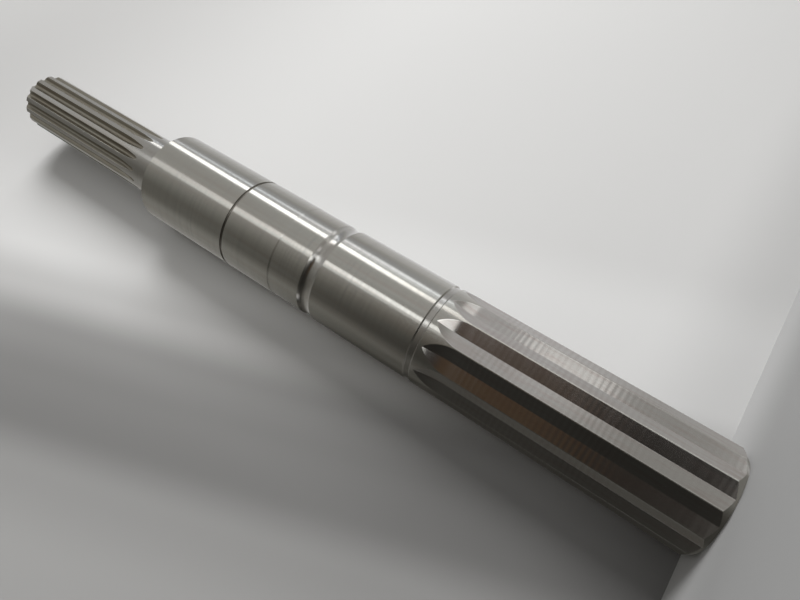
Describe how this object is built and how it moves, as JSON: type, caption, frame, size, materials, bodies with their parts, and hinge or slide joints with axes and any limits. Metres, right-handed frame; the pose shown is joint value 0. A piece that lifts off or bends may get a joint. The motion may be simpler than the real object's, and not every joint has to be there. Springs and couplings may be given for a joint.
{
  "type": "splined shaft",
  "caption": "One-piece steel drive shaft with a wide V-tooth spline at one end, a slim involute spline at the other and ground round seats between them.",
  "frame": {"origin": "centre of the flat face of the large splined end, on which the shaft stands", "axes": "+Z along the shaft's axis towards the small splined end; +X through a ridge of the large spline and a tooth space of the small one"},
  "size_m": [0.0384, 0.0384, 0.326],
  "materials": {
    "ground_steel": "ground round seats, hobbed tooth flanks, lightly oiled"
  },
  "bodies": {
    "root": {"splined_shaft": "ground_steel"}
  },
  "joints": []
}
